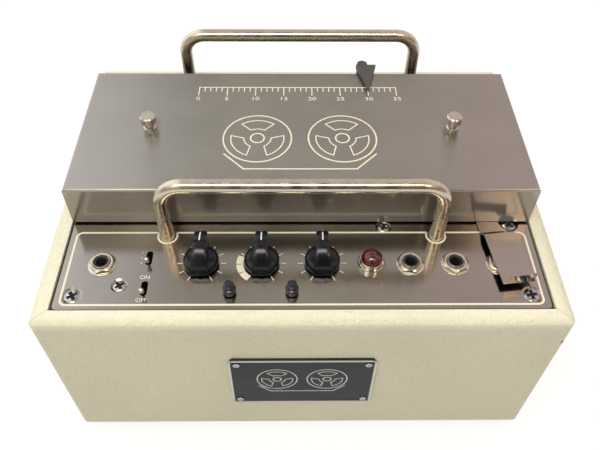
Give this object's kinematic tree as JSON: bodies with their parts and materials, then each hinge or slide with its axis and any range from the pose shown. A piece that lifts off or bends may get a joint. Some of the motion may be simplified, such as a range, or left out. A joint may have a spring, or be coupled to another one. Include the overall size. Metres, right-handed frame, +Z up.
{
  "type": "tape echo unit",
  "caption": "Valve tape echo unit: vinyl-covered box with a steel control deck, a lift-off cover over the tape transport, delay pointer, knobs, sockets and carrying handles.",
  "frame": {"origin": "on the surface the feet stand on, under the middle of the cabinet", "axes": "+Z up, +X to the right seen from the player, -Y towards the player"},
  "size_m": [0.2816, 0.2165, 0.1687],
  "materials": {
    "cream_vinyl": "cream grained vinyl over wood",
    "black_rubber": "matt",
    "badge_metal": "dark slate enamel with a bare silver rim",
    "small_screw_steel": "plated",
    "deck_steel": "brushed across the width",
    "screw_steel": "plated",
    "handle_nickel": "polished nickel",
    "hidden_screw_steel": "zinc plated",
    "jack_nickel": "nickel plated",
    "nut_nickel": "nickel plated",
    "control_can": "pressed can",
    "switch_can": "moulded",
    "lamp_chrome": "polished",
    "red_jewel": "faceted dark red",
    "post_steel": "turned",
    "pivot_steel": "turned",
    "rail_steel": "ground",
    "block_aluminium": "milled",
    "head_metal": "polished face",
    "tray_plastic": "moulded black",
    "lid_plastic": "smoked",
    "tape_brown": "oxide brown",
    "guide_steel": "polished",
    "motor_can": "black enamel",
    "bearing_brass": "turned",
    "belt_rubber": "ground rubber",
    "transformer_iron": "varnished laminations",
    "board_resin": "glass resin",
    "socket_ceramic": "glazed",
    "valve_glass": "clear",
    "capacitor_can": "sleeved",
    "standoff_brass": "hexagon spacers",
    "rear_steel": "brushed",
    "inlet_plastic": "moulded black",
    "fuse_plastic": "moulded black",
    "power_switch_metal": "nickel bushing",
    "knob_black": "gloss black",
    "trim_black": "gloss black",
    "toggle_chrome": "polished",
    "lever_steel": "brushed stainless",
    "roller_rubber": "ground rubber",
    "capstan_steel": "ground",
    "flywheel_steel": "turned",
    "pulley_brass": "turned",
    "carriage_aluminium": "milled",
    "pointer_grey": "satin grey",
    "cover_steel": "brushed across the width",
    "thumb_nickel": "turned nickel"
  },
  "bodies": {
    "case": {"cabinet_box": "cream_vinyl", "rubber_feet": "black_rubber", "badge_plate": "badge_metal", "plate_screws": "small_screw_steel", "top_deck": "deck_steel", "deck_screws": "screw_steel", "front_handle": "handle_nickel", "rear_handle": "handle_nickel", "handle_screws": "hidden_screw_steel", "input_jack": "jack_nickel", "playback_jack": "jack_nickel", "second_output_jack": "jack_nickel", "main_output_jack": "jack_nickel", "panel_nuts": "nut_nickel", "potentiometers": "control_can", "toggle_switches": "switch_can", "lamp_bezel": "lamp_chrome", "lamp_jewel": "red_jewel", "cover_posts": "post_steel", "lever_pivot_post": "pivot_steel", "head_rails": "rail_steel", "rail_blocks": "block_aluminium", "erase_head": "head_metal", "record_head": "head_metal", "cartridge_tray": "tray_plastic", "cartridge_lid": "lid_plastic", "tape_loop": "tape_brown", "tape_guides": "guide_steel", "drive_motor": "motor_can", "capstan_bearing": "bearing_brass", "drive_belt": "belt_rubber", "power_transformer": "transformer_iron", "amp_board": "board_resin", "tube_sockets": "socket_ceramic", "vacuum_tubes": "valve_glass", "filter_capacitors": "capacitor_can", "board_standoffs": "standoff_brass", "rear_plate": "rear_steel", "power_inlet": "inlet_plastic", "fuse_holder": "fuse_plastic", "power_switch": "power_switch_metal"},
    "guitar_volume": {"guitar_volume_knob": "knob_black"},
    "echo_volume": {"echo_volume_knob": "knob_black"},
    "echo_repeats": {"echo_repeats_knob": "knob_black"},
    "record_level": {"record_level_knob": "trim_black"},
    "echo_tone": {"echo_tone_knob": "trim_black"},
    "stereo_switch": {"stereo_mode_lever": "toggle_chrome"},
    "effect_switch": {"effect_lever": "toggle_chrome"},
    "pinch_arm": {"pinch_lever": "lever_steel"},
    "pinch_wheel": {"pinch_roller": "roller_rubber"},
    "capstan": {"capstan_shaft": "capstan_steel", "flywheel": "flywheel_steel"},
    "motor_rotor": {"motor_pulley": "pulley_brass"},
    "carriage": {"head_carriage": "carriage_aluminium", "playback_head": "head_metal"},
    "pointer": {"delay_pointer": "pointer_grey"},
    "cover": {"top_cover": "cover_steel"},
    "left_screw": {"left_thumb_screw": "thumb_nickel"},
    "right_screw": {"right_thumb_screw": "thumb_nickel"},
    "power_toggle": {"power_switch_lever": "toggle_chrome"}
  },
  "joints": [
    {"name": "guitar_volume_turn", "type": "hinge", "parent": "case", "child": "guitar_volume", "pos_m": [-0.0554, -0.0668, 0.1233], "axis": [0, 0, -1], "range_deg": [-150, 150]},
    {"name": "echo_volume_turn", "type": "hinge", "parent": "case", "child": "echo_volume", "pos_m": [-0.0223, -0.0668, 0.1233], "axis": [0, 0, -1], "range_deg": [-150, 150]},
    {"name": "echo_repeats_turn", "type": "hinge", "parent": "case", "child": "echo_repeats", "pos_m": [0.0108, -0.0668, 0.1233], "axis": [0, 0, -1], "range_deg": [-150, 150]},
    {"name": "record_level_turn", "type": "hinge", "parent": "case", "child": "record_level", "pos_m": [-0.03885, -0.0861, 0.1233], "axis": [0, 0, -1], "range_deg": [-140, 140]},
    {"name": "echo_tone_turn", "type": "hinge", "parent": "case", "child": "echo_tone", "pos_m": [-0.00575, -0.0861, 0.1233], "axis": [0, 0, -1], "range_deg": [-140, 140]},
    {"name": "stereo_mode_tilt", "type": "hinge", "parent": "case", "child": "stereo_switch", "pos_m": [-0.08445, -0.0632, 0.114], "axis": [-1, 0, 0], "range_deg": [0, 36]},
    {"name": "effect_tilt", "type": "hinge", "parent": "case", "child": "effect_switch", "pos_m": [-0.08445, -0.0834, 0.114], "axis": [-1, 0, 0], "range_deg": [0, 36]},
    {"name": "pinch_lever_swing", "type": "hinge", "parent": "case", "child": "pinch_arm", "pos_m": [0.1027, 0.024, 0.1233], "axis": [0, 0, 1], "range_deg": [0, 9]},
    {"name": "pinch_roller_spin", "type": "hinge", "parent": "pinch_arm", "child": "pinch_wheel", "pos_m": [0.0658, 0.03076, 0.1233], "axis": [0, 0, 1], "continuous": true},
    {"name": "capstan_spin", "type": "hinge", "parent": "case", "child": "capstan", "pos_m": [0.0652, 0.0134, 0.1233], "axis": [0, 0, 1], "continuous": true},
    {"name": "motor_spin", "type": "hinge", "parent": "case", "child": "motor_rotor", "pos_m": [0.005, 0.04, 0.0833], "axis": [0, 0, 1], "continuous": true},
    {"name": "head_travel", "type": "slide", "parent": "case", "child": "carriage", "axis": [1, 0, 0], "range_m": [-0.10638, 0.01773]},
    {"name": "pointer_pull", "type": "slide", "parent": "carriage", "child": "pointer", "axis": [0, 0, 1], "range_m": [0, 0.075]},
    {"name": "cover_lift", "type": "slide", "parent": "case", "child": "cover", "axis": [0, 0, 1], "range_m": [0, 0.075]},
    {"name": "left_thumb_turn", "type": "hinge", "parent": "cover", "child": "left_screw", "pos_m": [-0.09, 0.0126, 0.1512], "axis": [0, 0, 1], "range_deg": [0, 720]},
    {"name": "right_thumb_turn", "type": "hinge", "parent": "cover", "child": "right_screw", "pos_m": [0.09, 0.0126, 0.1512], "axis": [0, 0, 1], "range_deg": [0, 720]},
    {"name": "power_tilt", "type": "hinge", "parent": "case", "child": "power_toggle", "pos_m": [0.034, 0.0948, 0.054], "axis": [1, 0, 0], "range_deg": [0, 22]}
  ],
  "couplings": [
    {"joint": "capstan_spin", "follows": "motor_spin", "ratio": 0.19355},
    {"joint": "pointer_pull", "follows": "cover_lift", "ratio": 1}
  ]
}
